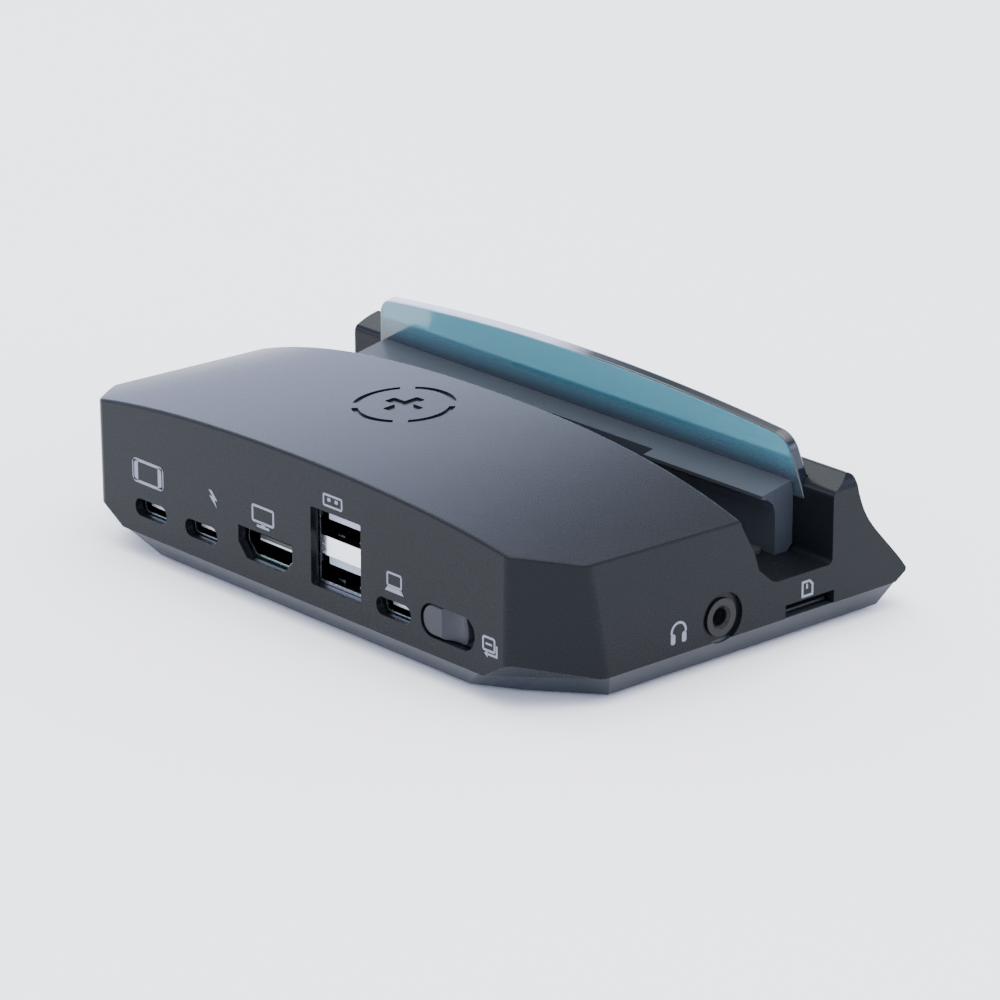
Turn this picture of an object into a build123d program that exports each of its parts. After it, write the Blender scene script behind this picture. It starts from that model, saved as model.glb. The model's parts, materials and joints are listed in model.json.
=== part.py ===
from build123d import *
import os

os.makedirs("parts", exist_ok=True)

# Docking station for a handheld console: a wide low housing with a leaning slot for the device,
# ports on the rear face (+Y) and on one end face (-X), a ramp at the front (-Y).
# Millimetres, +Z up. Heights are measured from the underside of the base cover;
# every part is lifted by FOOT_PROUD at the end, so that the rubber feet stand on Z = 0.

# Overall size
LENGTH = 143.0
DEPTH = 96.5
HALF_LENGTH = LENGTH / 2
REAR_Y = DEPTH / 2
TIP_Y = -DEPTH / 2 - 0.337  # sharp corner; rounding brings it back to -DEPTH / 2
SEAM_Z = 4.8
WALL = 2.0
FOOT_PROUD = 0.8
GAP = 0.1

# Plan of the housing: cut-off rear corners whose end edge leans back as it rises
REAR_CORNER_X = 61.8
SIDE_CORNER_Y_LOW = 31.0
SIDE_CORNER_Y_HIGH = 40.6
CORNER_TOP_Z = 45.0
CORNER_NORMAL = (0.87, 0.49)
REAR_CORNER_R = 2.5
SIDE_CORNER_R = 3.0
TOP_EDGE_R = 0.6

# Crowned top: height at the middle, then square and fourth-power fall along the length
REAR_CROWN = (34.25, 7.5e-4, 7.0e-8)
SLOT_CROWN = (36.5, 1.12e-3, 1.15e-7)
SLOT_EDGE_Y = -2.56

# Device slot and front lip, seen from the end
FLOOR_Z = 13.0
FLOOR_REAR_Y = -11.7
SLOT_FRONT_Y = -27.5
LIP_TOP_Z = 27.2
RIDGE_Y = -33.6
RIDGE_Z = 30.9
LIP_END_R = 4.2
TIP_Z = 6.8
SEAM_FRONT_Y = -45.4
PROFILE_ROUNDS = [
    ((FLOOR_REAR_Y, FLOOR_Z), 3.0),
    ((SLOT_FRONT_Y, FLOOR_Z), 1.2),
    ((SLOT_FRONT_Y, LIP_TOP_Z), 1.8),
    ((RIDGE_Y, RIDGE_Z), 1.2),
    ((TIP_Y, TIP_Z), 0.8),
]

# Bevel under each rear corner, from the seam up to BEVEL_TOP_Z on the corner's edge
BEVEL_START_X = 54.8
BEVEL_TOP_Z = 8.8
BEVEL_SIDE_Y = 32.5

# Base cover
BASE_FLOOR = 2.0
BASE_UNDERCUT_REAR = 3.6
BASE_UNDERCUT_SIDE = 2.8
BASE_FRONT_Y = -42.9
BASE_CORNER_X = 47.0
BASE_CORNER_Y = 29.0
REGISTER_HEIGHT = 1.4

# Fasteners
BOSS_R = 3.4
SCREW_R = 1.3
SCREW_HEAD_R = 2.5
SCREW_HEAD_H = 1.4
BASE_SCREWS = [(-58.0, 26.0), (58.0, 26.0), (-62.0, -34.0), (62.0, -34.0)]
FEET = [(-54.0, 12.0), (54.0, 12.0), (-50.0, -36.5), (50.0, -36.5)]
FOOT_SIZE = (16.0, 6.0)
FOOT_THICK = 1.6

# Rear ports: middle in X and Z, opening in the rear wall
PORT_RECESS = 2.0
USB_C_X = {"console": 45.4, "power": 29.3, "laptop": -29.3}
USB_C_Z = 10.6
USB_C_OPENING = (10.1, 3.7)
USB_C_SHELL = (9.0, 3.2, 7.4)
VIDEO_X = 9.2
VIDEO_Z = 12.2
VIDEO_OPENING = (16.6, 6.4)
VIDEO_SHELL = (15.2, 5.6, 10.0)
USB_A_X = -12.3
USB_A_Z = 17.2
USB_A_OPENING = (14.9, 16.0)
USB_A_SHELL = (14.3, 15.8, 17.0)
USB_A_WEB = 3.9
USB_A_RIM = 0.65
USB_A_TONGUE = (11.4, 1.7, 9.0)

# Slide switch
SWITCH_X = -44.9
SWITCH_Z = 11.7
SWITCH_SLOT = (15.4, 6.8)
SWITCH_TRAVEL = 1.9
KNOB_LENGTH = 13.0
KNOB_HEIGHT = 6.2

# End ports on the -X face
JACK_Y = 2.0
JACK_Z = 9.3
JACK_BORE_R = 1.8
JACK_COLLAR_R = 3.8
JACK_RECESS_R = 5.2
JACK_RECESS = 0.9
CARD_Y = -21.5
CARD_WIDTH = 13.2
CARD_TOP_Z = 7.5

# Main board and card board
BOARD_THICK = 1.6
BOARD_TOP_Z = 9.0
BOARD_REAR_Y = 45.0
BOARD_FRONT_Y = -3.0
BOARD_HALF = 54.0
CABLE_X = -40.0
BOARD_TAB_X = -67.0
BOARD_TAB_Y = 13.0
BOARD_SCREWS = [(-49.5, 3.0), (49.5, 3.0), (-49.5, 30.0), (49.5, 30.0)]
BOARD_SCREW_R = 1.0
BOARD_SCREW_HEAD_R = 1.9
BOARD_SCREW_HEAD_H = 1.1
STANDOFF_R = 2.4
CARD_BOARD_THICK = 1.0
CARD_BOARD_TOP_Z = 5.0

# Front rest rail, against the front wall of the slot
RAIL_HALF = 60.5
RAIL_NOSE_Y = -19.0
RAIL_REAR_Y = -22.6
RAIL_FRONT_Y = -27.4
RAIL_NOTCH_HALF = 27.0
RAIL_NOTCH_DEPTH = 2.7
RAIL_SCREW_Y = -24.4
RAIL_SCREW_R = 1.1
RAIL_SCREW_X = (-40.0, 0.0, 40.0)

# Guard panel: a leaning translucent plate in a groove between the rail and the lip
PANEL_LEAN = 11.0
PANEL_FOOT_Y = -29.0
PANEL_FOOT_Z = 23.5
PANEL_THICK = 2.5
PANEL_FOOT_HALF = 63.6
PANEL_TOP_HALF = 60.5
PANEL_MIDDLE_HEIGHT = 16.9
PANEL_END_HEIGHT = 13.4
PANEL_CORNER_R = 4.5
PANEL_EDGE_R = 0.5
GROOVE_CLEAR = 0.1

# Debossed mark on the top: a broken ring round a plain cross
MARK_X = 6.0
MARK_Y = 15.0
MARK_RING_R = 10.5
MARK_RING_WIDTH = 1.3
MARK_CROSS = (9.0, 2.6)
MARK_GAP = 3.0
MARK_DEPTH = 0.4


def yz_face(points):
    """Closed outline given as (Y, Z) points."""
    return Plane.YZ * Polygon(*points, align=None)


def plane_facing_front(y):
    """Plane at depth y whose local axes are X and Z."""
    return Plane(origin=(0, y, 0), x_dir=(1, 0, 0), z_dir=(0, -1, 0))


def crown_height(crown, x):
    middle, square, fourth = crown
    return middle - square * x**2 - fourth * x**4


def crown_section(y, crown, drop):
    """Upright section of the housing at depth y, flat below and crowned on top."""
    half = HALF_LENGTH + 4
    stations = [-half, -62, -46, -25, 0, 25, 46, 62, half]
    top = [(x, crown_height(crown, x) - drop) for x in stations]
    outline = Spline(*top) + Polyline(top[-1], (half, -1), (-half, -1), top[0])
    return plane_facing_front(y) * make_face(outline)


def corner_wedge(side, inset):
    """Block that cuts off one rear corner; its cutting face leans back as it rises."""
    spread = 6.0
    sections = []
    for z, side_y in ((0.0, SIDE_CORNER_Y_LOW), (CORNER_TOP_Z, SIDE_CORNER_Y_HIGH)):
        run_x = HALF_LENGTH - REAR_CORNER_X
        run_y = side_y - REAR_Y
        rear = (REAR_CORNER_X - run_x, REAR_Y - run_y)
        front = (HALF_LENGTH + run_x, side_y + run_y)
        far = (HALF_LENGTH + run_x + spread, REAR_Y - run_y + spread)
        points = [(side * x, y) for x, y in (rear, front, far)]
        sections.append(Pos(0, 0, z) * make_face(Polyline(*points, close=True)))
    wedge = loft(sections, ruled=True)
    normal_x, normal_y = CORNER_NORMAL
    return Pos(-side * inset * normal_x, -inset * normal_y, 0) * wedge


def side_profile(inset):
    """Housing seen from the end, with the top of the rear part left open for the crown."""
    slot = [
        (REAR_Y, 0),
        (REAR_Y, 50),
        (SLOT_EDGE_Y, 50),
        (SLOT_EDGE_Y, 26.9),
        (-6.3, 20.2),
        (-7.5, 16.6),
        (FLOOR_REAR_Y, FLOOR_Z),
        (SLOT_FRONT_Y, FLOOR_Z),
        (SLOT_FRONT_Y, LIP_TOP_Z),
        (RIDGE_Y, RIDGE_Z),
    ]
    ramp = [slot[-1], (-34.6, 25.6), (-37.1, 20.2), (-40.7, 15.8), (-45.6, 10.5), (TIP_Y, TIP_Z)]
    under = [(TIP_Y, TIP_Z), (SEAM_FRONT_Y, SEAM_Z), (SEAM_FRONT_Y, 0), (REAR_Y, 0)]
    if inset > 0:
        outline = Polyline(*slot, *ramp[1:], *under[1:])
        return Plane.YZ * offset(make_face(outline), amount=-inset, kind=Kind.INTERSECTION)
    face = make_face(Polyline(*slot) + Spline(*ramp) + Polyline(*under))
    for corner, radius in PROFILE_ROUNDS:
        corner_vertex = face.vertices().sort_by_distance((*corner, 0))[0]
        face = fillet([corner_vertex], radius)
    return Plane.YZ * face


def lip_block(inset):
    """Long block round the lip; its rounded upper corners round off the lip's ends."""
    end = HALF_LENGTH - inset + 0.06
    block = slab((-end, -60, 0), (end, -20, RIDGE_Z - inset))
    top_corners = [e for e in block.edges().filter_by(Axis.Y) if e.center().Z > 20]
    return fillet(top_corners, LIP_END_R - inset)


def housing_form(inset):
    """Solid of the whole housing, down to Z = 0, with every wall moved in by inset."""
    crown = loft(
        [crown_section(REAR_Y + 1, REAR_CROWN, inset), crown_section(SLOT_EDGE_Y, SLOT_CROWN, inset)],
        ruled=True,
    )
    front = slab((-90, -20, -10), (90, SLOT_EDGE_Y, 50)) + slab((-90, -60, -10), (90, -20, 20))
    front += lip_block(inset)
    form = extrude(side_profile(inset), amount=HALF_LENGTH - inset, both=True)
    form = form & (crown + front)
    for side in (-1, 1):
        form -= corner_wedge(side, inset)
    return form


def under_bevel(side, inset=0):
    """Large block below the bevel plane of one rear corner, moved in by inset."""
    low = Vector(side * BEVEL_START_X, REAR_Y, SEAM_Z)
    high = Vector(side * REAR_CORNER_X, REAR_Y, BEVEL_TOP_Z)
    far = Vector(side * HALF_LENGTH, BEVEL_SIDE_Y, SEAM_Z)
    normal = (high - low).cross(far - low).normalized()
    if normal.Z > 0:
        normal = normal * -1
    plane = Plane(origin=low - normal * inset, x_dir=(far - low), z_dir=normal)
    return extrude(plane * Rectangle(120, 120), amount=60)


def bevelled_form(inset):
    """Housing form with the bevel under both rear corners."""
    form = housing_form(inset)
    for side in (-1, 1):
        form -= under_bevel(side, inset)
    return form


def slab(low, high):
    """Box between two opposite corners."""
    size = [b - a for a, b in zip(low, high)]
    middle = [(a + b) / 2 for a, b in zip(low, high)]
    return Pos(*middle) * Box(*size)


def rear_opening(x, z, width, height, corner_r, depth, y=REAR_Y):
    """Rounded rectangular block reaching from depth y towards the front by depth."""
    face = plane_facing_front(y) * Pos(x, z) * RectangleRounded(width, height, corner_r)
    return extrude(face, amount=depth)


def video_outline(width, height):
    """D-shaped outline of the video port, narrower at the bottom."""
    half_w, half_h = width / 2, height / 2
    points = [
        (-half_w, half_h),
        (half_w, half_h),
        (half_w, -half_h * 0.1),
        (half_w * 0.68, -half_h),
        (-half_w * 0.68, -half_h),
        (-half_w, -half_h * 0.1),
    ]
    return make_face(Polyline(*points, close=True))


def vertical_cylinder(x, y, z_low, z_high, radius):
    return Pos(x, y, (z_low + z_high) / 2) * Cylinder(radius, z_high - z_low)


def x_cylinder(x_low, x_high, y, z, radius):
    return Pos((x_low + x_high) / 2, y, z) * Rot(0, 90, 0) * Cylinder(radius, x_high - x_low)


def round_housing(outer):
    """Soften the upright corner edges, then the edges round the crowned top and the lip's ends."""
    edges = outer.edges()
    upright = [e for e in edges if e.bounding_box().size.Z > 15 and e.center().Y > 30]
    rear = [e for e in upright if abs(abs(e.center().X) - REAR_CORNER_X) < 0.5]
    outer = fillet(rear, REAR_CORNER_R)
    outer = fillet([e for e in outer.edges() if is_side_corner(e)], SIDE_CORNER_R)
    top = [e for e in outer.edges() if is_top_edge(e)]
    outer = fillet(top, TOP_EDGE_R)
    return outer


def is_side_corner(edge):
    """Upright edge where a cut-off corner meets an end face."""
    centre = edge.center()
    tall = edge.bounding_box().size.Z > 15
    return tall and centre.Y > 30 and abs(abs(centre.X) - HALF_LENGTH) < 0.6


def is_top_edge(edge):
    """Edge of the crowned top."""
    box = edge.bounding_box()
    return box.min.Z > 26.5 and box.min.Y > SLOT_EDGE_Y - 0.1 and edge.length > 1.0


def emblem(outer):
    """Shallow grooves of the mark, following the crowned top."""
    ring = Circle(MARK_RING_R) - Circle(MARK_RING_R - MARK_RING_WIDTH)
    for angle in (45, 135):
        ring -= Rot(0, 0, angle) * Rectangle(3 * MARK_RING_R, MARK_GAP)
    long_side, short_side = MARK_CROSS
    cross = RectangleRounded(long_side, short_side, 0.5) + RectangleRounded(short_side, long_side, 0.5)
    block = extrude(Pos(MARK_X, MARK_Y, 20) * (ring + cross), amount=30)
    return block - Pos(0, 0, -MARK_DEPTH) * outer


def upper_housing():
    outer = bevelled_form(0) & slab((-100, -100, SEAM_Z), (100, 100, 100))
    outer = round_housing(outer)
    shell = outer - bevelled_form(WALL)
    shell += slab((-66, -31.6, 20), (66, -28.0, 26.9)) & outer
    for x, y in BASE_SCREWS:
        shell += vertical_cylinder(x, y, SEAM_Z, 40, BOSS_R) & outer
        shell -= vertical_cylinder(x, y, 0, 13, SCREW_R)
    for x in RAIL_SCREW_X:
        shell -= vertical_cylinder(x, RAIL_SCREW_Y, 8, 14, RAIL_SCREW_R + 0.1)
    for x in USB_C_X.values():
        shell -= rear_opening(x, USB_C_Z, *USB_C_OPENING, 1.75, WALL + 0.5)
    video = plane_facing_front(REAR_Y) * Pos(VIDEO_X, VIDEO_Z) * video_outline(*VIDEO_OPENING)
    shell -= extrude(video, amount=WALL + 0.5)
    shell -= rear_opening(USB_A_X, USB_A_Z, *USB_A_OPENING, 0.4, WALL + 0.5)
    shell -= rear_opening(SWITCH_X, SWITCH_Z, *SWITCH_SLOT, 3.2, WALL + 0.5)
    shell -= x_cylinder(-HALF_LENGTH - 1, -HALF_LENGTH + JACK_RECESS, JACK_Y, JACK_Z, JACK_RECESS_R)
    shell -= x_cylinder(-HALF_LENGTH, -HALF_LENGTH + 3, JACK_Y, JACK_Z, JACK_COLLAR_R + GAP)
    low = (-HALF_LENGTH - 1, CARD_Y - CARD_WIDTH / 2, SEAM_Z - 1)
    high = (-HALF_LENGTH + 2.5, CARD_Y + CARD_WIDTH / 2, CARD_TOP_Z)
    shell -= slab(low, high)
    shell -= guard_plate(GROOVE_CLEAR)
    shell -= emblem(outer)
    return shell


def base_outline(z, rear, middle, side, front_y, inset):
    """Eight-cornered outline of the base at height z."""
    half = [rear, middle, side, (side[0], front_y)]
    points = [(-x, y) for x, y in half] + [(x, y) for x, y in reversed(half)]
    face = make_face(Polyline(*points, close=True))
    if inset > 0:
        face = offset(face, amount=-inset, kind=Kind.INTERSECTION)
    return Pos(0, 0, z) * face


def base_form(inset, low_z):
    """Undercut tray form between low_z and the seam."""
    bottom_side = (HALF_LENGTH - BASE_UNDERCUT_SIDE, BASE_CORNER_Y)
    bottom = base_outline(
        low_z,
        (BASE_CORNER_X, REAR_Y - BASE_UNDERCUT_REAR),
        (56.1, 39.4),
        bottom_side,
        BASE_FRONT_Y,
        inset,
    )
    top = base_outline(
        SEAM_Z,
        (BEVEL_START_X - 1.5, REAR_Y - 0.2),
        (63.0, 40.0),
        (HALF_LENGTH - 0.2, BEVEL_SIDE_Y - 1.5),
        SEAM_FRONT_Y + 0.2,
        inset,
    )
    return loft([bottom, top], ruled=True)


def base_cover():
    tray = base_form(0, 0) - base_form(3.3, BASE_FLOOR)
    ring = bevelled_form(WALL + 0.15) - bevelled_form(WALL + 1.15)
    tray += ring & slab((-100, -100, SEAM_Z), (100, 100, SEAM_Z + REGISTER_HEIGHT))
    tray += ring & slab((-100, -100, SEAM_Z - 1.5), (100, 100, SEAM_Z)) & base_form(0, 0)
    for x, y in BASE_SCREWS:
        tray += vertical_cylinder(x, y, 1, SEAM_Z, BOSS_R)
        tray -= vertical_cylinder(x, y, -1, SEAM_Z + 3, SCREW_R + 0.2)
        tray -= vertical_cylinder(x, y, -1, SCREW_HEAD_H + 0.4, SCREW_HEAD_R + 0.3)
    for x, y in BOARD_SCREWS:
        tray += vertical_cylinder(x, y, 1, BOARD_TOP_Z - BOARD_THICK, STANDOFF_R)
        tray -= vertical_cylinder(x, y, 2.2, 9, BOARD_SCREW_R)
    for y in (-27.0, -16.0):
        tray += vertical_cylinder(-48, y, 1, CARD_BOARD_TOP_Z - CARD_BOARD_THICK, STANDOFF_R)
    width, length = FOOT_SIZE
    for x, y in FEET:
        tray -= slab((x - width / 2, y - length / 2, -1), (x + width / 2, y + length / 2, FOOT_THICK / 2))
    tray -= x_cylinder(-HALF_LENGTH - 1, -HALF_LENGTH + JACK_RECESS, JACK_Y, JACK_Z, JACK_RECESS_R)
    clear_y = CARD_WIDTH / 2 + 0.6
    tray -= slab((-69.6, CARD_Y - clear_y, CARD_BOARD_TOP_Z - 1.2), (-66, CARD_Y + clear_y, 12))
    return tray


def rubber_feet():
    width, length = FOOT_SIZE
    feet = []
    for x, y in FEET:
        pad = slab(
            (x - width / 2 + GAP, y - length / 2 + GAP, -FOOT_PROUD),
            (x + width / 2 - GAP, y + length / 2 - GAP, FOOT_THICK / 2),
        )
        feet.append(fillet(pad.edges().filter_by(Axis.Z), 2.0))
    return Compound(feet)


def screw(x, y, head_z, shank_top, radius, head_radius, head_height, up=True):
    """Pan-head screw; up=True has its head below and its shank reaching up."""
    direction = 1 if up else -1
    far = head_z + direction * head_height
    head = vertical_cylinder(x, y, min(head_z, far), max(head_z, far), head_radius)
    socket = vertical_cylinder(x, y, min(head_z, head_z + direction * 0.7) - 0.01,
                               max(head_z, head_z + direction * 0.7) + 0.01, head_radius * 0.4)
    shank = vertical_cylinder(x, y, min(far, shank_top), max(far, shank_top), radius)
    return head + shank - socket


def base_screws():
    low = 0.4
    shank = SCREW_R - 0.05
    return Compound([
        screw(x, y, low, 11.0, shank, SCREW_HEAD_R, SCREW_HEAD_H) for x, y in BASE_SCREWS
    ])


def board_screws():
    head_z = BOARD_TOP_Z + BOARD_SCREW_HEAD_H
    shank = BOARD_SCREW_R - 0.05
    return Compound([
        screw(x, y, head_z, 3.0, shank, BOARD_SCREW_HEAD_R, BOARD_SCREW_HEAD_H, up=False)
        for x, y in BOARD_SCREWS
    ])


def rail_screws():
    head_z = FLOOR_Z - WALL - SCREW_HEAD_H
    shank = RAIL_SCREW_R - 0.05
    return Compound([
        screw(x, RAIL_SCREW_Y, head_z, 19.0, shank, 2.2, SCREW_HEAD_H) for x in RAIL_SCREW_X
    ])


def front_rest_rail():
    profile = [
        (RAIL_NOSE_Y, 25.9),
        (RAIL_FRONT_Y, 27.5),
        (RAIL_FRONT_Y, FLOOR_Z + 1.4),
        (RAIL_FRONT_Y + 1.4, FLOOR_Z),
        (RAIL_REAR_Y, FLOOR_Z),
        (RAIL_REAR_Y, 21.5),
        (-21.9, 23.6),
        (-20.4, 24.8),
        (RAIL_NOSE_Y, 25.2),
    ]
    rail = extrude(yz_face(profile), amount=RAIL_HALF, both=True)
    notch_y = RAIL_NOSE_Y - RAIL_NOTCH_DEPTH
    rail -= slab((-RAIL_NOTCH_HALF, notch_y, 20), (RAIL_NOTCH_HALF, 0, 40))
    for x in RAIL_SCREW_X:
        rail -= vertical_cylinder(x, RAIL_SCREW_Y, 8, 20, RAIL_SCREW_R)
    rail -= guard_plate(GROOVE_CLEAR)
    return rail


def panel_plane():
    """Plane of the guard panel: local X along the length, local Y up the leaning plate."""
    upright = Plane(origin=(0, PANEL_FOOT_Y, PANEL_FOOT_Z), x_dir=(1, 0, 0), z_dir=(0, -1, 0))
    return upright.rotated((-PANEL_LEAN, 0, 0))


def guard_plate(clearance):
    """Guard panel's plate, or the groove that holds it when a clearance is given."""
    foot = PANEL_FOOT_HALF + clearance
    top = PANEL_TOP_HALF + clearance
    sides = Polyline((-top, PANEL_END_HEIGHT), (-foot, -clearance), (foot, -clearance), (top, PANEL_END_HEIGHT))
    arch = ThreePointArc((top, PANEL_END_HEIGHT), (0, PANEL_MIDDLE_HEIGHT), (-top, PANEL_END_HEIGHT))
    face = make_face(sides + arch)
    corners = face.vertices().group_by(Axis.Y)[-1]
    face = fillet(corners, PANEL_CORNER_R)
    return extrude(panel_plane() * face, amount=PANEL_THICK / 2 + clearance, both=True)


def guard_panel():
    plate = guard_plate(0)
    rim = [e for e in plate.edges() if e.bounding_box().max.Z > 30]
    long_rim = [e for e in rim if e.length > 3]
    return fillet(long_rim, PANEL_EDGE_R)


def slot_floor_pad():
    pad = slab((-58, RAIL_REAR_Y + 0.3, FLOOR_Z), (58, FLOOR_REAR_Y - 1.4, FLOOR_Z + 0.8))
    return fillet(pad.edges().filter_by(Axis.Z), 1.5)


def usb_c_shell(x):
    width, height, length = USB_C_SHELL
    front = REAR_Y - PORT_RECESS - 0.05
    tube = rear_opening(x, USB_C_Z, width, height, 1.55, length, front)
    return tube - rear_opening(x, USB_C_Z, width - 0.6, height - 0.6, 1.25, length, front)


def usb_c_tongue(x):
    width, height, length = USB_C_SHELL
    front = REAR_Y - PORT_RECESS - 0.05
    root = rear_opening(x, USB_C_Z, width - 0.6, height - 0.6, 1.25, 1.9, front - length + 1.9)
    blade = rear_opening(x, USB_C_Z, 6.7, 0.7, 0.3, length - 2.7, front - 0.8)
    collar = rear_opening(x, USB_C_Z, 7.4, 1.1, 0.4, 1.2, front - length + 3.0)
    return root + blade + collar


def video_shell():
    width, height, length = VIDEO_SHELL
    plane = plane_facing_front(REAR_Y - PORT_RECESS - 0.05) * Pos(VIDEO_X, VIDEO_Z)
    tube = extrude(plane * video_outline(width, height), amount=length)
    return tube - extrude(plane * video_outline(width - 0.8, height - 0.8), amount=length - 0.4)


def video_tongue():
    width, height, length = VIDEO_SHELL
    front = REAR_Y - PORT_RECESS - 0.05
    root_face = plane_facing_front(front - length + 2.4) * Pos(VIDEO_X, VIDEO_Z)
    root = extrude(root_face * video_outline(width - 0.8, height - 0.8), amount=2.0)
    blade = rear_opening(VIDEO_X, VIDEO_Z + 0.5, 10.6, 1.3, 0.2, length - 3.4, front - 1.2)
    return root + blade


def video_bracket():
    """Saddle that carries the video port above the board."""
    width, height, length = VIDEO_SHELL
    front = REAR_Y - PORT_RECESS - 0.6
    saddle = slab(
        (VIDEO_X - width / 2, front - length + 1, BOARD_TOP_Z),
        (VIDEO_X + width / 2, front - 1, VIDEO_Z - 0.5),
    )
    plane = plane_facing_front(REAR_Y) * Pos(VIDEO_X, VIDEO_Z)
    return saddle - extrude(plane * video_outline(width, height), amount=20)


def usb_a_cavities(clearance):
    """Centre heights of the two USB-A cavities and their opening."""
    width, height, length = USB_A_SHELL
    opening = (height - 2 * USB_A_RIM - USB_A_WEB) / 2
    offset_z = (USB_A_WEB + opening) / 2
    return [USB_A_Z - offset_z, USB_A_Z + offset_z], (width - 0.8 - clearance, opening - clearance)


def usb_a_shell():
    width, height, length = USB_A_SHELL
    front = REAR_Y - PORT_RECESS - 0.05
    shell = rear_opening(USB_A_X, USB_A_Z, width, height, 0.5, length, front)
    centres, (cavity_w, cavity_h) = usb_a_cavities(0)
    for z in centres:
        shell -= rear_opening(USB_A_X, z, cavity_w, cavity_h, 0.3, length - 0.4, front)
    foot = slab(
        (USB_A_X - 6, front - length + 1, BOARD_TOP_Z),
        (USB_A_X + 6, front - 3, USB_A_Z - height / 2 + 0.01),
    )
    return shell + foot


def usb_a_tongues():
    width, height, length = USB_A_SHELL
    front = REAR_Y - PORT_RECESS - 0.05
    centres, (cavity_w, cavity_h) = usb_a_cavities(0.1)
    tongue_w, tongue_h, tongue_length = USB_A_TONGUE
    solids = []
    for z in centres:
        root = rear_opening(USB_A_X, z, cavity_w, cavity_h, 0.25, 6.0, front - length + 6.6)
        tongue_z = z + cavity_h / 2 - 0.5 - tongue_h / 2
        blade = rear_opening(USB_A_X, tongue_z, tongue_w, tongue_h, 0.3, tongue_length, front - 1.2)
        reach = slab(
            (USB_A_X - tongue_w / 2, front - length + 6, tongue_z - tongue_h / 2),
            (USB_A_X + tongue_w / 2, front - 9, tongue_z + tongue_h / 2),
        )
        solids.append(root + blade + reach)
    return Compound(solids)


def knob_centre_x():
    """The knob rests at the +X end of its slot."""
    return SWITCH_X + SWITCH_TRAVEL / 2


def switch_knob():
    x = knob_centre_x()
    face_y = REAR_Y - 0.2
    knob = rear_opening(x, SWITCH_Z, KNOB_LENGTH, KNOB_HEIGHT, 3.0, face_y - 46.0, face_y)
    knob = fillet(knob.faces().sort_by(Axis.Y)[-1].edges(), 0.5)
    dish_r = 5.6
    dish_depth = 1.4
    knob -= Pos(x - 2.8, face_y + dish_r - dish_depth, SWITCH_Z) * Cylinder(dish_r, 20)
    flange = rear_opening(x, SWITCH_Z, 17.6, 7.9, 1.0, 0.8, 46.05)
    post = slab((x - 1, 43.4, SWITCH_Z - 0.9), (x + 1, 45.3, SWITCH_Z + 0.9))
    return knob + flange + post


def switch_body():
    x = knob_centre_x() - SWITCH_TRAVEL / 2
    body = slab((x - 5.5, 38.2, BOARD_TOP_Z), (x + 5.5, 44.8, SWITCH_Z + 2.8))
    body -= slab((x - 2.6, 42.9, SWITCH_Z - 1.2), (x + 2.6, 46, SWITCH_Z + 1.2))
    return body


def jack_body():
    back = -HALF_LENGTH + WALL + 0.1
    body = slab((back, JACK_Y - 3.3, JACK_Z - 3.0), (back + 12.6, JACK_Y + 3.3, JACK_Z + 3.0))
    return body - x_cylinder(back - 1, back + 12.0, JACK_Y, JACK_Z, JACK_BORE_R)


def jack_collar():
    low = -HALF_LENGTH + 0.3
    high = -HALF_LENGTH + WALL + 0.1
    collar = x_cylinder(low, high, JACK_Y, JACK_Z, JACK_COLLAR_R)
    mouth = Pos(low + 0.3, JACK_Y, JACK_Z) * Rot(0, 90, 0) * Cone(JACK_BORE_R + 0.6, JACK_BORE_R, 0.6)
    return collar - x_cylinder(low - 1, high + 1, JACK_Y, JACK_Z, JACK_BORE_R) - mouth


def card_frame():
    """Front edge and middle of the card socket."""
    return -HALF_LENGTH + WALL + 0.2, CARD_Y


def card_socket_cover():
    x, y = card_frame()
    cover = slab((x, y - 6.6, CARD_BOARD_TOP_Z), (x + 14.5, y + 6.6, CARD_BOARD_TOP_Z + 2.3))
    return cover - slab((x - 1, y - 6.3, 0), (x + 20, y + 6.3, CARD_BOARD_TOP_Z + 2.05))


def card_socket_base():
    x, y = card_frame()
    floor = slab((x, y - 6.3, CARD_BOARD_TOP_Z), (x + 14.5, y + 6.3, CARD_BOARD_TOP_Z + 0.5))
    back = slab((x + 13.7, y - 6.3, CARD_BOARD_TOP_Z), (x + 14.5, y + 6.3, CARD_BOARD_TOP_Z + 1.9))
    return floor + back


def card_ejector():
    """Slider that the card pushes; it travels towards +X."""
    x, y = card_frame()
    z = CARD_BOARD_TOP_Z + 0.6
    arm = slab((x + 3.0, y + 5.0, z), (x + 9.6, y + 6.1, z + 1.2))
    hook = slab((x + 8.6, y + 2.6, z), (x + 9.6, y + 6.1, z + 1.2))
    return arm + hook



def main_board():
    z_low = BOARD_TOP_Z - BOARD_THICK
    board = slab((-BOARD_HALF, BOARD_FRONT_Y, z_low), (BOARD_HALF, BOARD_REAR_Y, BOARD_TOP_Z))
    board += slab((BOARD_TAB_X, BOARD_FRONT_Y, z_low), (-BOARD_HALF + 1, BOARD_TAB_Y, BOARD_TOP_Z))
    cut = -HALF_LENGTH + WALL + 13.2
    board -= slab((-80, JACK_Y - 3.5, z_low - 1), (cut, JACK_Y + 3.5, BOARD_TOP_Z + 1))
    for x, y in BOARD_SCREWS:
        board -= vertical_cylinder(x, y, z_low - 1, BOARD_TOP_Z + 1, BOARD_SCREW_R + 0.1)
    return board


def card_board():
    z_low = CARD_BOARD_TOP_Z - CARD_BOARD_THICK
    return slab((-67.0, -30.0, z_low), (-35.0, -13.0, CARD_BOARD_TOP_Z))


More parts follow.
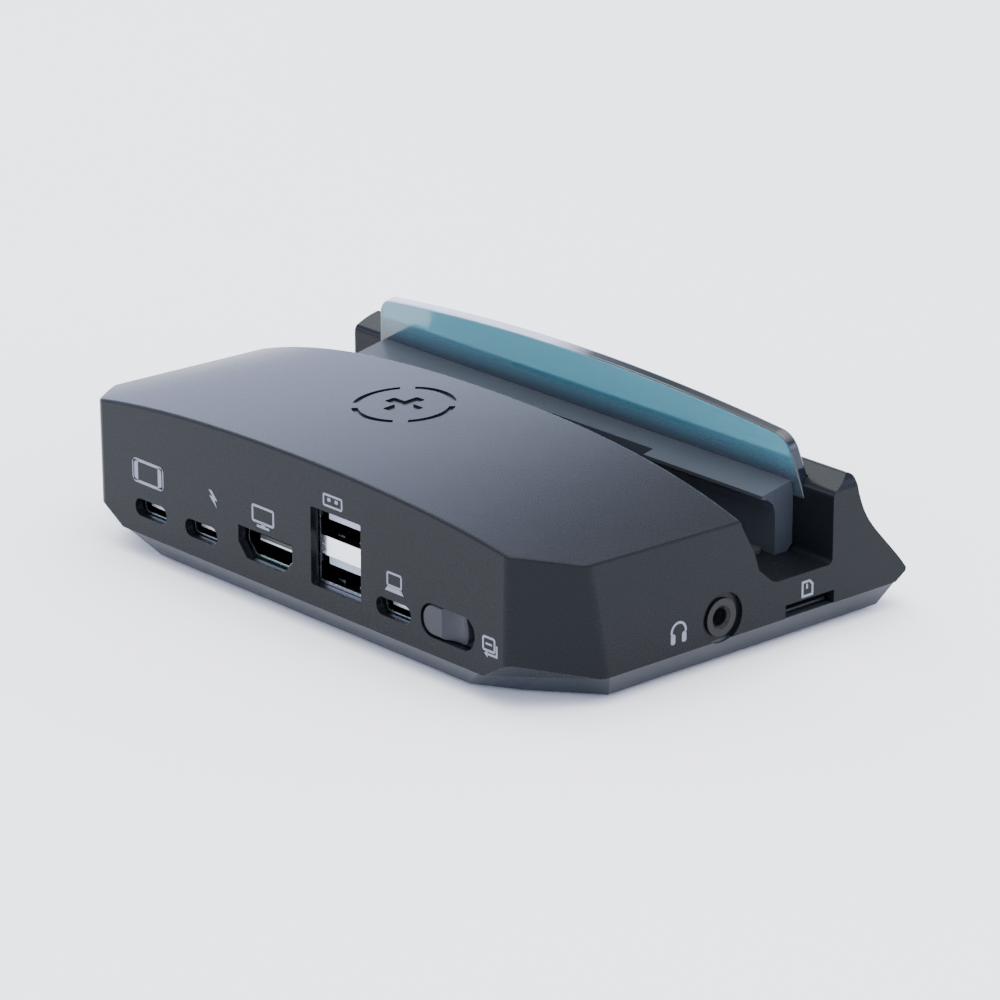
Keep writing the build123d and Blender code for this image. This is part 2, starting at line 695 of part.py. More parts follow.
def flat_cable():
    high, low = BOARD_TOP_Z + 0.2, CARD_BOARD_TOP_Z + 0.2
    centre = [(0.1, high), (-4.2, high), (-9.0, low), (-14.7, low)]
    profile = [(y, z - 0.15) for y, z in centre] + [(y, z + 0.15) for y, z in reversed(centre)]
    strip = extrude(yz_face(profile), amount=3.0, both=True)
    return Pos(CABLE_X, 0, 0) * strip


def cable_sockets():
    low_x, high_x = CABLE_X - 3.6, CABLE_X + 3.6
    first = slab((low_x, 0.1, BOARD_TOP_Z), (high_x, 3.0, BOARD_TOP_Z + 1.2))
    second = slab((low_x, -18.0, CARD_BOARD_TOP_Z), (high_x, -14.7, CARD_BOARD_TOP_Z + 1.2))
    return Compound([first, second])


def chip(x, y, size, height):
    """Square package on the board with a small corner bevel."""
    half = size / 2
    body = slab((x - half, y - half, BOARD_TOP_Z), (x + half, y + half, BOARD_TOP_Z + height))
    return chamfer(body.faces().sort_by(Axis.Z)[-1].edges(), 0.15)


def shield_can():
    can = slab((20.0, 4.0, BOARD_TOP_Z), (42.0, 22.0, BOARD_TOP_Z + 2.6))
    return can - slab((20.3, 4.3, 0), (41.7, 21.7, BOARD_TOP_Z + 2.3))


def thermal_pad():
    return slab((26.0, 8.0, BOARD_TOP_Z + 1.0), (36.0, 18.0, BOARD_TOP_Z + 2.3))


def power_inductors():
    return Compound([chip(x, 28.0, 6.4, 3.0) for x in (28.0, 36.5)])


def storage_capacitors():
    places = [(-24.0, 8.0), (-32.0, 8.0), (-28.0, 15.5)]
    return Compound([vertical_cylinder(x, y, BOARD_TOP_Z, BOARD_TOP_Z + 5.8, 3.1) for x, y in places])


def crystal():
    can = slab((8.0, 6.0, BOARD_TOP_Z), (11.2, 8.5, BOARD_TOP_Z + 0.8))
    return fillet(can.edges().filter_by(Axis.Z), 0.6)


def ballast_plate():
    plate = slab((-42.0, -2.0, BASE_FLOOR), (42.0, 40.0, BASE_FLOOR + 1.6))
    return fillet(plate.edges().filter_by(Axis.Z), 3.0)


def write(name, shape):
    """Lift a part onto its feet and write it."""
    lifted = Pos(0, 0, FOOT_PROUD) * shape
    lifted.label = name
    export_step(lifted, f"parts/{name}.step")


PARTS = {
    "upper_housing": upper_housing(),
    "base_cover": base_cover(),
    "rubber_feet": rubber_feet(),
    "base_screws": base_screws(),
    "front_rest_rail": front_rest_rail(),
    "rail_screws": rail_screws(),
    "guard_panel": guard_panel(),
    "slot_floor_pad": slot_floor_pad(),
    "video_shell": video_shell(),
    "video_tongue": video_tongue(),
    "video_bracket": video_bracket(),
    "usb_a_shell": usb_a_shell(),
    "usb_a_tongues": usb_a_tongues(),
    "switch_knob": switch_knob(),
    "switch_body": switch_body(),
    "headphone_jack": jack_body(),
    "headphone_collar": jack_collar(),
    "card_socket_cover": card_socket_cover(),
    "card_socket_base": card_socket_base(),
    "card_ejector": card_ejector(),
    "main_board": main_board(),
    "board_screws": board_screws(),
    "card_board": card_board(),
    "flat_cable": flat_cable(),
    "cable_sockets": cable_sockets(),
    "hub_chip": chip(-6.0, 12.0, 9.0, 0.9),
    "video_chip": chip(31.0, 13.0, 8.0, 1.0),
    "power_chip": chip(46.0, 20.0, 5.0, 0.9),
    "shield_can": shield_can(),
    "thermal_pad": thermal_pad(),
    "power_inductors": power_inductors(),
    "storage_capacitors": storage_capacitors(),
    "crystal": crystal(),
    "ballast_plate": ballast_plate(),
}
for use, x in USB_C_X.items():
    PARTS[f"usb_c_{use}_shell"] = usb_c_shell(x)
    PARTS[f"usb_c_{use}_tongue"] = usb_c_tongue(x)

for name, shape in PARTS.items():
    write(name, shape)
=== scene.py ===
import json
import math

import bmesh
import bpy
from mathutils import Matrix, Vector


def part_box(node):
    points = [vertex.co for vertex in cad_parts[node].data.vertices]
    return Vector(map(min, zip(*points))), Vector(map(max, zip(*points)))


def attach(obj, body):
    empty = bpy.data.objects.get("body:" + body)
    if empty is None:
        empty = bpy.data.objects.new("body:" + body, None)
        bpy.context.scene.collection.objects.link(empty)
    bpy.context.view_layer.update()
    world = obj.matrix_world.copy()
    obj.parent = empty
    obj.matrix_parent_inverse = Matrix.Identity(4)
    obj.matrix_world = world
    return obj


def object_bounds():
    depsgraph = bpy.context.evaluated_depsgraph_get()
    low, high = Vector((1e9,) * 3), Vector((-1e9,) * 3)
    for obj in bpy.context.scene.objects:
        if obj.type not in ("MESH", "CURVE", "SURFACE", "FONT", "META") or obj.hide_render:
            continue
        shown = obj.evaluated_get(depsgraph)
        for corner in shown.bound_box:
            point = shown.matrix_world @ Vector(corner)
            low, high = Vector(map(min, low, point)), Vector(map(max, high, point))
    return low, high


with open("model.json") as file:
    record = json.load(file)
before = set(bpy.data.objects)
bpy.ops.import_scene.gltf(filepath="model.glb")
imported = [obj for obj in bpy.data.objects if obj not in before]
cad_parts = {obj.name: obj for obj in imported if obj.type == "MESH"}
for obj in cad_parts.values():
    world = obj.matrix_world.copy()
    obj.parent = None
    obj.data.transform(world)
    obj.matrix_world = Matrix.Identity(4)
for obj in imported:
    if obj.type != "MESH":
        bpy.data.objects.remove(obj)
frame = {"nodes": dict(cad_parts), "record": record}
CAD_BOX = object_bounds()
NODES = frame["nodes"]
MM = 0.001
PANEL_LEAN = math.radians(11.0)
USB_A_CAVITY = 5.25 * MM
SHELL_WALL_MIDDLE = 0.25

CAMERA_AZIMUTH = math.radians(228.23)
CAMERA_ELEVATION = math.radians(19.63)
CAMERA_DISTANCE = 0.972
CAMERA_AIM_SHIFT = Vector((-0.0226, 0.0151, 0.0035))


# ---------------------------------------------------------------- material helpers

def new_material(name):
    """Node material with its Principled shader and an object-space coordinate."""
    mat = bpy.data.materials.new(name)
    mat.use_nodes = True
    tree = mat.node_tree
    shader = tree.nodes["Principled BSDF"]
    coords = tree.nodes.new("ShaderNodeTexCoord")
    return mat, tree, shader, coords.outputs["Object"]


def noise(tree, vector, size_mm, detail=3.0, rough=0.55):
    """Noise whose lumps are about size_mm across."""
    node = tree.nodes.new("ShaderNodeTexNoise")
    node.inputs["Scale"].default_value = 1.0 / (size_mm * MM)
    node.inputs["Detail"].default_value = detail
    node.inputs["Roughness"].default_value = rough
    tree.links.new(vector, node.inputs["Vector"])
    return node.outputs["Fac"]


def ramp(tree, value, stops):
    """Colour ramp through (place, colour) stops."""
    node = tree.nodes.new("ShaderNodeValToRGB")
    elements = node.color_ramp.elements
    while len(elements) < len(stops):
        elements.new(0.5)
    for element, (place, colour) in zip(elements, stops):
        element.position = place
        element.color = (*colour, 1.0)
    tree.links.new(value, node.inputs["Fac"])
    return node.outputs["Color"]


def spread(tree, value, low, high):
    """Map noise to the range low..high."""
    node = tree.nodes.new("ShaderNodeMapRange")
    node.inputs["From Min"].default_value = 0.3
    node.inputs["From Max"].default_value = 0.7
    node.inputs["To Min"].default_value = low
    node.inputs["To Max"].default_value = high
    tree.links.new(value, node.inputs["Value"])
    return node.outputs["Result"]


def bump(tree, shader, height, strength, depth_mm):
    node = tree.nodes.new("ShaderNodeBump")
    node.inputs["Strength"].default_value = strength
    node.inputs["Distance"].default_value = depth_mm * MM
    tree.links.new(height, node.inputs["Height"])
    tree.links.new(node.outputs["Normal"], shader.inputs["Normal"])


def shade(colour, factor):
    return tuple(min(1.0, c * factor) for c in colour)


def moulded(name, colour, rough, grain_mm=0.35, vary=0.08, depth_mm=0.02, strength=0.25, **sockets):
    """Moulded or coated surface: fine grain, slow colour drift, uneven gloss."""
    mat, tree, shader, vector = new_material(name)
    drift = noise(tree, vector, 14.0, detail=2.0)
    grain = noise(tree, vector, grain_mm, detail=4.0)
    stops = [(0.25, shade(colour, 1 - vary)), (0.75, shade(colour, 1 + vary))]
    tree.links.new(ramp(tree, drift, stops), shader.inputs["Base Color"])
    tree.links.new(spread(tree, grain, rough - 0.04, rough + 0.05), shader.inputs["Roughness"])
    bump(tree, shader, grain, strength, depth_mm)
    for socket, value in sockets.items():
        shader.inputs[socket.replace("_", " ")].default_value = value
    return mat


def brushed(name, colour, rough, stretch=(1, 1, 30)):
    """Metal with fine drawn lines along one axis."""
    mat, tree, shader, vector = new_material(name)
    mapping = tree.nodes.new("ShaderNodeMapping")
    mapping.inputs["Scale"].default_value = stretch
    tree.links.new(vector, mapping.inputs["Vector"])
    lines = noise(tree, mapping.outputs["Vector"], 0.8, detail=5.0)
    stops = [(0.3, shade(colour, 0.88)), (0.7, shade(colour, 1.06))]
    tree.links.new(ramp(tree, lines, stops), shader.inputs["Base Color"])
    tree.links.new(spread(tree, lines, rough - 0.06, rough + 0.1), shader.inputs["Roughness"])
    bump(tree, shader, lines, 0.15, 0.01)
    shader.inputs["Metallic"].default_value = 1.0
    return mat


def nickel_shell_painted_shade():
    """Bright nickel on faces that look out of the rear wall; all other faces get a near-black painted shade
    for the shade inside the sockets.
    """
    mat = brushed("nickel_shell_painted_shade", (0.80, 0.82, 0.86), 0.2, (1, 8, 1))
    tree = mat.node_tree
    shader = tree.nodes["Principled BSDF"]
    bright = shader.inputs["Base Color"].links[0].from_socket
    geometry = tree.nodes.new("ShaderNodeNewGeometry")
    split = tree.nodes.new("ShaderNodeSeparateXYZ")
    tree.links.new(geometry.outputs["True Normal"], split.inputs["Vector"])
    rim = ramp(tree, split.outputs["Y"], [(0.4, (0.0, 0.0, 0.0)), (0.7, (1.0, 1.0, 1.0))])
    mix = tree.nodes.new("ShaderNodeMix")
    mix.data_type = "RGBA"
    tree.links.new(rim, mix.inputs["Factor"])
    # painted shade: near-black colour on every face not turned out of the rear wall
    mix.inputs["A"].default_value = (0.035, 0.038, 0.045, 1.0)
    tree.links.new(bright, mix.inputs["B"])
    tree.links.new(mix.outputs["Result"], shader.inputs["Base Color"])
    return mat


def panel_material():
    """Translucent teal plate, slate blue then near black towards its foot as painted shade; cut edge near
    black at -X and pale at +X, a painted reflection.
    """
    mat, tree, shader, vector = new_material("panel_teal_clear")
    low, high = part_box("guard_panel")
    split = tree.nodes.new("ShaderNodeSeparateXYZ")
    tree.links.new(vector, split.inputs["Vector"])
    height = tree.nodes.new("ShaderNodeMapRange")
    height.inputs["From Min"].default_value = low.z
    height.inputs["From Max"].default_value = high.z
    tree.links.new(split.outputs["Z"], height.inputs["Value"])
    # painted shade: the plate darkens toward its foot, slate blue then near black
    stops = [(0.28, (0.055, 0.08, 0.10)), (0.38, (0.07, 0.16, 0.20)), (0.54, (0.10, 0.28, 0.33))]
    face_colour_painted_foot_shade = ramp(tree, height.outputs["Result"], stops)
    geometry = tree.nodes.new("ShaderNodeNewGeometry")
    facing = tree.nodes.new("ShaderNodeVectorMath")
    facing.operation = "DOT_PRODUCT"
    facing.inputs[1].default_value = (0.0, math.cos(PANEL_LEAN), -math.sin(PANEL_LEAN))
    tree.links.new(geometry.outputs["True Normal"], facing.inputs[0])
    flat = tree.nodes.new("ShaderNodeMath")
    flat.operation = "ABSOLUTE"
    tree.links.new(facing.outputs["Value"], flat.inputs[0])
    mix = tree.nodes.new("ShaderNodeMix")
    mix.data_type = "RGBA"
    rim = ramp(tree, flat.outputs["Value"], [(0.70, (0.0, 0.0, 0.0)), (0.90, (1.0, 1.0, 1.0))])
    tree.links.new(rim, mix.inputs["Factor"])
    along = tree.nodes.new("ShaderNodeMapRange")
    along.inputs["From Min"].default_value = low.x
    along.inputs["From Max"].default_value = high.x
    tree.links.new(split.outputs["X"], along.inputs["Value"])
    # painted reflection: the cut edge is near black on the -X half and pale lavender on the +X half
    edge_painted_reflection_stops = [(0.46, (0.008, 0.013, 0.022)), (0.56, (0.80, 0.80, 1.0))]
    tree.links.new(ramp(tree, along.outputs["Result"], edge_painted_reflection_stops), mix.inputs["A"])
    tree.links.new(face_colour_painted_foot_shade, mix.inputs["B"])
    tree.links.new(mix.outputs["Result"], shader.inputs["Base Color"])
    cloud = noise(tree, vector, 18.0, detail=2.0)
    tree.links.new(spread(tree, cloud, 0.08, 0.14), shader.inputs["Roughness"])
    bump(tree, shader, cloud, 0.08, 0.05)
    shader.inputs["Transmission Weight"].default_value = 0.5
    shader.inputs["IOR"].default_value = 1.46
    shader.inputs["Coat Weight"].default_value = 0.3
    shader.inputs["Coat Roughness"].default_value = 0.06
    return mat


def board_material():
    """Green solder mask with faint copper tracks under it."""
    mat, tree, shader, vector = new_material("board_laminate_green")
    tracks = tree.nodes.new("ShaderNodeTexBrick")
    tracks.inputs["Scale"].default_value = 260.0
    tracks.inputs["Color1"].default_value = (0.012, 0.11, 0.05, 1)
    tracks.inputs["Color2"].default_value = (0.02, 0.15, 0.07, 1)
    tracks.inputs["Mortar"].default_value = (0.03, 0.20, 0.09, 1)
    tree.links.new(vector, tracks.inputs["Vector"])
    tree.links.new(tracks.outputs["Color"], shader.inputs["Base Color"])
    bump(tree, shader, tracks.outputs["Fac"], 0.2, 0.03)
    shader.inputs["Roughness"].default_value = 0.32
    return mat


GUN_METAL = (0.0050, 0.0058, 0.0072)
FINISHES = {
    "housing_plastic": moulded("gunmetal_coat", GUN_METAL, 0.27, 0.22, 0.05, 0.01, 0.10,
                               Specular_IOR_Level=0.12, Specular_Tint=(0.90, 0.95, 1.0, 1.0)),
    "base_plastic": moulded("base_slate", (0.018, 0.021, 0.027), 0.40, 0.28, 0.06, 0.015, 0.15,
                            Specular_IOR_Level=0.3),
    "foot_rubber": moulded("foot_rubber_black", (0.014, 0.014, 0.015), 0.75, 0.5, 0.15, 0.05, 0.4),
    "screw_steel": brushed("screw_steel_drawn", (0.42, 0.42, 0.43), 0.32, (1, 1, 12)),
    "rail_plastic": moulded("rail_satin", (0.030, 0.035, 0.043), 0.38, 0.28, 0.06, 0.015, 0.15,
                            Specular_IOR_Level=0.3),
    "panel_teal": panel_material(),
    "pad_rubber": moulded("slot_pad_silicone", (0.011, 0.012, 0.014), 0.7, 0.4, 0.12, 0.04, 0.35),
    # nickel with painted shade inside the sockets
    "connector_shell": nickel_shell_painted_shade(),
    "connector_black": moulded("connector_black_resin", (0.012, 0.012, 0.013), 0.45, 0.25, 0.12, 0.02, 0.2),
    "connector_white": moulded("connector_white_resin", (0.33, 0.36, 0.41), 0.45, 0.25, 0.04, 0.02, 0.2),
    "knob_plastic": moulded("knob_satin", (0.017, 0.019, 0.025), 0.42, 0.2, 0.06, 0.015, 0.2,
                            Specular_IOR_Level=0.25),
    "collar_dark": moulded("collar_polished", (0.006, 0.006, 0.007), 0.34, 0.3, 0.1, 0.01, 0.1,
                           Specular_IOR_Level=0.2),
    "board_laminate": board_material(),
    "cable_white": moulded("cable_pale", (0.55, 0.55, 0.53), 0.5, 0.6, 0.05, 0.02, 0.2),
    "chip_black": moulded("chip_epoxy", (0.015, 0.015, 0.016), 0.55, 0.2, 0.1, 0.02, 0.3),
    "shield_tin": brushed("shield_tinned", (0.55, 0.55, 0.53), 0.35, (8, 1, 1)),
    "thermal_grey": moulded("gap_filler", (0.12, 0.13, 0.16), 0.8, 0.4, 0.1, 0.05, 0.3),
    "ferrite": moulded("ferrite_block", (0.03, 0.03, 0.032), 0.6, 0.4, 0.15, 0.05, 0.4),
    "capacitor_can": brushed("capacitor_aluminium", (0.62, 0.63, 0.65), 0.28, (1, 1, 10)),
    "ballast_steel": brushed("ballast_zinc", (0.34, 0.35, 0.37), 0.4, (10, 1, 1)),
}
INK = moulded("print_ink_grey", (0.15, 0.165, 0.19), 0.6, 0.15, 0.06, 0.005, 0.1)
SILVER = brushed("tongue_silver", (0.50, 0.52, 0.56), 0.35, (8, 1, 1))
BRIGHT = brushed("rim_polished", (0.92, 0.93, 0.95), 0.16, (8, 1, 1))
GOLD = brushed("contact_gold", (0.70, 0.48, 0.20), 0.28, (1, 6, 1))

for part in frame["record"]["subparts"]:
    node = NODES[part["node"]]
    for index in range(len(node.material_slots)):
        node.material_slots[index].material = FINISHES[part["material_slot"]]


# ---------------------------------------------------------------- mesh helpers

def mesh_piece(name, bm, material, body):
    """Turn a bmesh into a named piece that rides on a body."""
    bmesh.ops.recalc_face_normals(bm, faces=bm.faces)
    mesh = bpy.data.meshes.new(name)
    bm.to_mesh(mesh)
    bm.free()
    mesh.materials.append(material)
    piece = bpy.data.objects.new(name, mesh)
    bpy.context.scene.collection.objects.link(piece)
    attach(piece, body)


def on_rear(u, w, lift):
    """Point on the rear wall: u along +X and w up, in millimetres from the base underside."""
    return Vector((u * MM, REAR_Y + lift * MM, w * MM + FOOT_LIFT))


def on_end(u, w, lift):
    """Point on the -X end wall: u along +Y and w up, in millimetres."""
    return Vector((END_X - lift * MM, u * MM, w * MM + FOOT_LIFT))


def solid_outline(bm, place, points, thick=0.04, base=-0.02):
    """Closed prism standing on a wall, from a flat outline."""
    bottom = [bm.verts.new(place(u, w, base)) for u, w in points]
    top = [bm.verts.new(place(u, w, thick)) for u, w in points]
    bm.faces.new(top)
    bm.faces.new(list(reversed(bottom)))
    for i in range(len(points)):
        j = (i + 1) % len(points)
        bm.faces.new((bottom[i], bottom[j], top[j], top[i]))


def stroke(bm, place, points, width, closed=False):
    """Printed line of even width through the points, with mitred corners."""
    count = len(points)
    left, right = [], []
    for i, point in enumerate(points):
        here = Vector(point)
        before = Vector(points[i - 1]) if i > 0 or closed else None
        after = Vector(points[(i + 1) % count]) if i < count - 1 or closed else None
        way_in = (here - before).normalized() if before else (after - here).normalized()
        way_out = (after - here).normalized() if after else way_in
        normal_in = Vector((-way_in.y, way_in.x))
        normal_out = Vector((-way_out.y, way_out.x))
        mitre = (normal_in + normal_out).normalized()
        reach = 0.5 * width / max(0.4, mitre.dot(normal_in))
        left.append(here + mitre * reach)
        right.append(here - mitre * reach)
    last = count if closed else count - 1
    for i in range(last):
        j = (i + 1) % count
        solid_outline(bm, place, [left[i], left[j], right[j], right[i]])


def round_rect(cx, cz, width, height, radius, steps=5):
    """Outline of a rectangle with round corners."""
    points = []
    corners = [(1, 1, 0), (-1, 1, 90), (-1, -1, 180), (1, -1, 270)]
    for sx, sz, start in corners:
        mx = cx + sx * (width / 2 - radius)
        mz = cz + sz * (height / 2 - radius)
        for i in range(steps + 1):
            angle = math.radians(start + 90 * i / steps)
            points.append((mx + radius * math.cos(angle), mz + radius * math.sin(angle)))
    return points


def arc(cx, cz, radius, start, end, steps=14):
    angles = [math.radians(start + (end - start) * i / steps) for i in range(steps + 1)]
    return [(cx + radius * math.cos(a), cz + radius * math.sin(a)) for a in angles]


housing_low, housing_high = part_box("upper_housing")
REAR_Y = housing_high.y
END_X = housing_low.x
FOOT_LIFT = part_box("base_cover")[0].z


# ---------------------------------------------------------------- printed symbols

def console_symbol():
    bm = bmesh.new()
    stroke(bm, on_rear, round_rect(46.1, 18.3, 9.4, 4.5, 0.9), 0.6, closed=True)
    for side in (-1, 1):
        solid_outline(bm, on_rear, round_rect(46.1 + side * 3.95, 18.3, 1.5, 4.4, 0.3))
    mesh_piece("symbol_console", bm, INK, "dock")


def bolt_symbol():
    bm = bmesh.new()
    bolt = [(25.7, 20.3), (23.9, 18.4), (24.8, 18.4), (24.1, 16.9), (26.4, 19.1), (25.4, 19.1),
            (26.6, 20.3)]
    solid_outline(bm, on_rear, bolt)
    mesh_piece("symbol_power", bm, INK, "dock")


def monitor_symbol():
    bm = bmesh.new()
    stroke(bm, on_rear, round_rect(9.7, 19.2, 6.4, 3.2, 0.4), 0.5, closed=True)
    solid_outline(bm, on_rear, [(9.1, 17.5), (10.3, 17.5), (10.3, 17.0), (9.1, 17.0)])
    solid_outline(bm, on_rear, [(7.8, 17.0), (11.6, 17.0), (11.6, 16.5), (7.8, 16.5)])
    mesh_piece("symbol_monitor", bm, INK, "dock")


def plug_symbol():
    bm = bmesh.new()
    stroke(bm, on_rear, round_rect(-11.6, 27.7, 5.4, 2.2, 0.3), 0.42, closed=True)
    for x in (-12.7, -10.5):
        solid_outline(bm, on_rear, round_rect(x, 27.9, 0.9, 0.7, 0.1))
    mesh_piece("symbol_plug", bm, INK, "dock")


def laptop_symbol():
    bm = bmesh.new()
    stroke(bm, on_rear, round_rect(-29.6, 16.7, 4.0, 2.6, 0.35), 0.42, closed=True)
    base = [(-32.3, 14.2), (-26.9, 14.2), (-27.6, 15.1), (-31.6, 15.1)]
    solid_outline(bm, on_rear, base)
    mesh_piece("symbol_laptop", bm, INK, "dock")


def swap_symbol():
    bm = bmesh.new()
    stroke(bm, on_rear, round_rect(-56.6, 11.6, 3.2, 2.6, 0.4), 0.45, closed=True)
    corner = [(-58.8, 11.8), (-58.8, 9.6), (-56.2, 9.6)]
    stroke(bm, on_rear, corner, 0.45)
    solid_outline(bm, on_rear, [(-56.3, 10.3), (-56.3, 8.9), (-55.3, 9.6)])
    stroke(bm, on_rear, [(-57.5, 11.6), (-55.7, 11.6)], 0.4)
    mesh_piece("symbol_swap", bm, INK, "dock")


def headphone_symbol():
    bm = bmesh.new()
    stroke(bm, on_end, arc(13.6, 9.5, 1.85, -8, 188), 0.5)
    for side in (-1, 1):
        solid_outline(bm, on_end, round_rect(13.6 + side * 1.45, 8.2, 1.15, 2.1, 0.45))
    mesh_piece("symbol_headphones", bm, INK, "dock")


def card_symbol():
    bm = bmesh.new()
    card = [(-22.1, 8.2), (-19.4, 8.2), (-19.4, 11.1), (-21.3, 11.1), (-22.1, 10.3)]
    stroke(bm, on_end, card, 0.48, closed=True)
    stroke(bm, on_end, [(-20.6, 9.6), (-20.6, 10.6)], 0.5)
    mesh_piece("symbol_card", bm, INK, "dock")


# ---------------------------------------------------------------- connector details

def block(bm, low, high):
    """Closed box between two corners, added to a piece with other shapes."""
    corners = [Vector((x, y, z)) for z in (low[2], high[2]) for x, y in (
        (low[0], low[1]), (high[0], low[1]), (high[0], high[1]), (low[0], high[1]))]
    verts = [bm.verts.new(c) for c in corners]
    for face in ((0, 1, 2, 3), (4, 5, 6, 7), (0, 1, 5, 4), (1, 2, 6, 5), (2, 3, 7, 6), (3, 0, 4, 7)):
        bm.faces.new([verts[i] for i in face])


def usb_a_contacts():
    """Gold strips under the tongue of each USB-A cavity."""
    low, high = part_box("usb_a_tongues")
    middle_x = (low.x + high.x) / 2
    bm = bmesh.new()
    for roof in (low.z + USB_A_CAVITY, high.z):
        under = roof - 2.2 * MM
        for i in range(4):
            x = middle_x + (i - 1.5) * 2.3 * MM
            block(bm, (x - 0.5 * MM, high.y - 7.5 * MM, under - 0.12 * MM),
                  (x + 0.5 * MM, high.y - 0.5 * MM, under + 0.02 * MM))
    mesh_piece("usb_a_contacts", bm, GOLD, "dock")


def usb_a_springs():
    """Pressed spring leaves standing up from the floor of each USB-A cavity."""
    low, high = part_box("usb_a_tongues")
    middle_x = (low.x + high.x) / 2
    bm = bmesh.new()
    for floor in (low.z, high.z - USB_A_CAVITY):
        for side in (-1, 1):
            x = middle_x + side * 3.2 * MM
            rows = []
            for i in range(9):
                t = i / 8
                y = high.y - (1.0 + 6.0 * t) * MM
                z = floor + (0.02 + 0.55 * math.sin(math.pi * t)) * MM
                rows.append([bm.verts.new((x + dx * MM, y, z + dz * MM))
                             for dx, dz in ((-1.0, 0), (1.0, 0), (1.0, 0.12), (-1.0, 0.12))])
            for a, b in zip(rows, rows[1:]):
                for k in range(4):
                    bm.faces.new((a[k], a[(k + 1) % 4], b[(k + 1) % 4], b[k]))
            bm.faces.new(rows[0])
            bm.faces.new(list(reversed(rows[-1])))
    # the nickel finish paints shade on every face not turned out of the rear wall, so these leaves are
    # mostly painted shade
    mesh_piece("usb_a_springs", bm, FINISHES["connector_shell"], "dock")


def blade_contacts(node, count, pitch, width, name):
    """Gold strips on both sides of a thin tongue."""
    low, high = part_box(node)
    middle_x = (low.x + high.x) / 2
    middle_z = (low.z + high.z) / 2
    bm = bmesh.new()
    for i in range(count):
        x = middle_x + (i - (count - 1) / 2) * pitch * MM
        for side in (-1, 1):
            z = middle_z + side * 0.36 * MM
            block(bm, (x - width / 2 * MM, high.y - 4.0 * MM, z - 0.03 * MM),
                  (x + width / 2 * MM, high.y - 0.4 * MM, z + 0.03 * MM))
    mesh_piece(name, bm, GOLD, "dock")


def tongue_plate(node, length, lift, height, name):
    """Bright metal edge wrapped round the front of a connector's tongue."""
    low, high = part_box(node)
    middle_x = (low.x + high.x) / 2
    middle_z = (low.z + high.z) / 2 + lift * MM
    half = length / 2 * MM
    bm = bmesh.new()
    block(bm, (middle_x - half, high.y - 1.1 * MM, middle_z - height / 2 * MM),
          (middle_x + half, high.y + 0.06 * MM, middle_z + height / 2 * MM))
    bmesh.ops.bevel(bm, geom=bm.edges[:], offset=0.08 * MM, segments=2, affect="EDGES")
    mesh_piece(name, bm, SILVER, "dock")


def video_rim():
    """Bright lower lip of the video port's shell, standing proud of its front edge."""
    low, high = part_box("video_shell")
    middle = (low.x + high.x) / 2 / MM
    centre = ((low.z + high.z) / 2 - FOOT_LIFT) / MM
    half_w = (high.x - low.x) / 2 / MM - SHELL_WALL_MIDDLE
    half_h = (high.z - low.z) / 2 / MM - SHELL_WALL_MIDDLE
    corners = [(-half_w, 0.1 * -half_h), (0.68 * -half_w, -half_h), (0.68 * half_w, -half_h),
               (half_w, 0.1 * -half_h)]
    depth = (high.y - REAR_Y) / MM
    bm = bmesh.new()
    outline = [(middle + u, centre + w) for u, w in corners]
    stroke(bm, lambda u, w, lift: on_rear(u, w, lift + depth), outline, 0.34)
    mesh_piece("video_rim", bm, BRIGHT, "dock")


console_symbol()
bolt_symbol()
monitor_symbol()
plug_symbol()
laptop_symbol()
swap_symbol()
headphone_symbol()
card_symbol()
usb_a_contacts()
usb_a_springs()
for use in ("console", "power", "laptop"):
    blade_contacts(f"usb_c_{use}_tongue", 8, 0.72, 0.34, f"usb_c_{use}_contacts")
    tongue_plate(f"usb_c_{use}_tongue", 6.8, 0.0, 0.84, f"usb_c_{use}_plate")
tongue_plate("video_tongue", 10.8, 0.2, 0.55, "video_plate")
video_rim()


# ---------------------------------------------------------------- floor, light and camera

def floor():
    mat, tree, shader, vector = new_material("floor_white")
    cloud = noise(tree, vector, 300.0, detail=1.0)
    stops = [(0.3, (0.93, 0.93, 0.935)), (0.7, (0.95, 0.95, 0.95))]
    tree.links.new(ramp(tree, cloud, stops), shader.inputs["Base Color"])
    shader.inputs["Roughness"].default_value = 0.9
    shader.inputs["Specular IOR Level"].default_value = 0.1
    bm = bmesh.new()
    bmesh.ops.create_grid(bm, x_segments=24, y_segments=24, size=6.0)
    mesh = bpy.data.meshes.new("floor")
    bm.to_mesh(mesh)
    bm.free()
    mesh.materials.append(mat)
    piece = bpy.data.objects.new("floor", mesh)
    bpy.context.scene.collection.objects.link(piece)


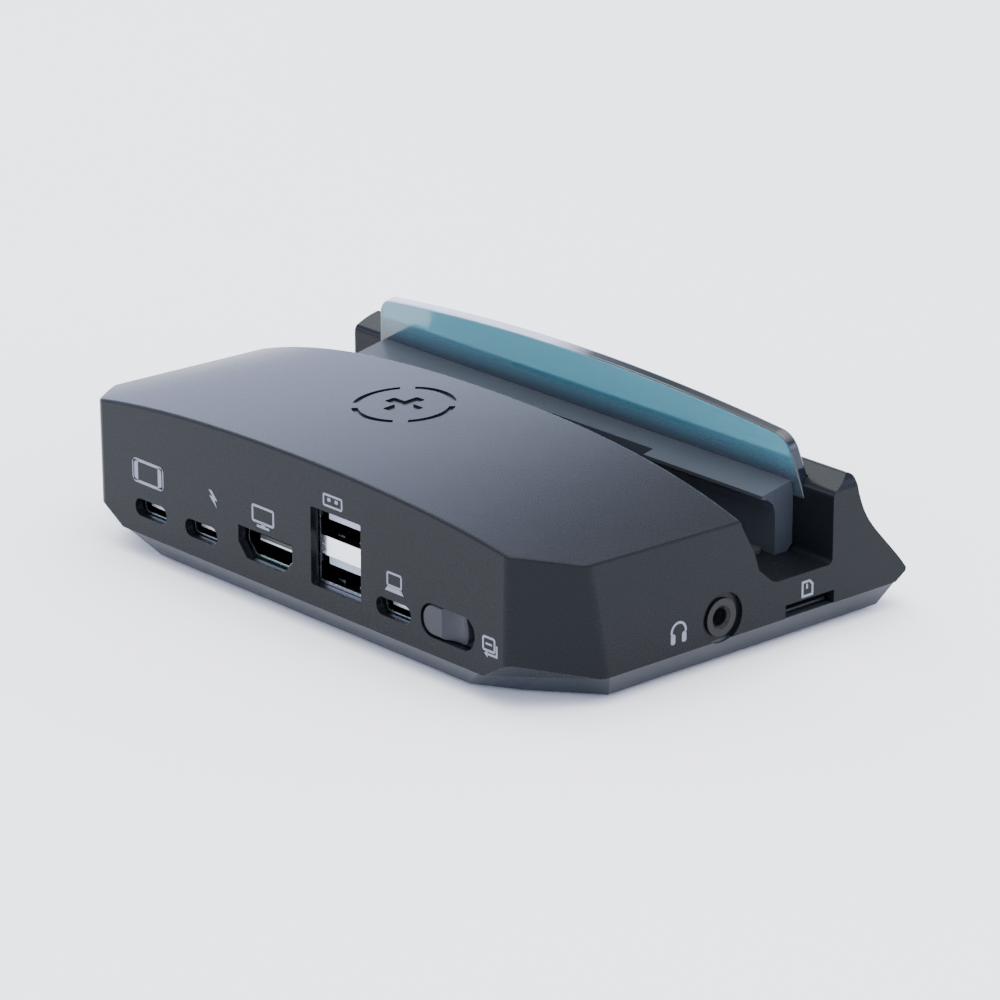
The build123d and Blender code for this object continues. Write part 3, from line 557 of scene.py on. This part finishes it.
def studio_world():
    """Bright band a little above the horizon, dim above it, with a bright patch overhead."""
    world = bpy.data.worlds.new("studio")
    bpy.context.scene.world = world
    world.use_nodes = True
    tree = world.node_tree
    coords = tree.nodes.new("ShaderNodeTexCoord")
    split = tree.nodes.new("ShaderNodeSeparateXYZ")
    tree.links.new(coords.outputs["Generated"], split.inputs["Vector"])
    stops = [(0.0, (1.75, 1.95, 2.75)), (0.16, (1.85, 2.05, 2.90)), (0.34, (4.0, 4.4, 6.0)),
             (0.46, (1.9, 2.1, 2.7)), (0.60, (0.30, 0.33, 0.38)), (0.90, (4.2, 4.2, 4.2))]
    colour = ramp(tree, split.outputs["Z"], stops)
    background = tree.nodes["Background"]
    tree.links.new(colour, background.inputs["Color"])


def area_light(name, place, aim, size, power, colour):
    lamp = bpy.data.lights.new(name, "AREA")
    lamp.shape = "RECTANGLE"
    lamp.size, lamp.size_y = size
    lamp.energy = power
    lamp.color = colour
    holder = bpy.data.objects.new(name, lamp)
    holder.location = place
    holder.rotation_euler = (Vector(aim) - Vector(place)).to_track_quat("-Z", "Y").to_euler()
    bpy.context.scene.collection.objects.link(holder)


def camera():
    """Long lens at azimuth 228 and elevation 19.6, aimed a little to the left of the middle."""
    low, high = CAD_BOX
    middle = (Vector(low) + Vector(high)) / 2
    aim = middle + CAMERA_AIM_SHIFT
    level = math.cos(CAMERA_ELEVATION)
    back = Vector((math.sin(CAMERA_AZIMUTH) * level, -math.cos(CAMERA_AZIMUTH) * level,
                   math.sin(CAMERA_ELEVATION)))
    data = bpy.data.cameras.new("camera")
    data.lens = 180.0
    data.sensor_width = 36.0
    holder = bpy.data.objects.new("camera", data)
    holder.location = aim + back * CAMERA_DISTANCE
    holder.rotation_euler = back.to_track_quat("Z", "Y").to_euler()
    bpy.context.scene.collection.objects.link(holder)
    bpy.context.scene.camera = holder


floor()
studio_world()
area_light("key", (-0.1, 0.3, 1.7), (0, 0, 0), (1.6, 1.6), 22.0, (1.0, 1.0, 1.0))
area_light("lip_light", (1.25, -0.05, 1.25), (0, 0, 0.03), (0.55, 0.55), 6.0, (0.95, 0.97, 1.0))
camera()
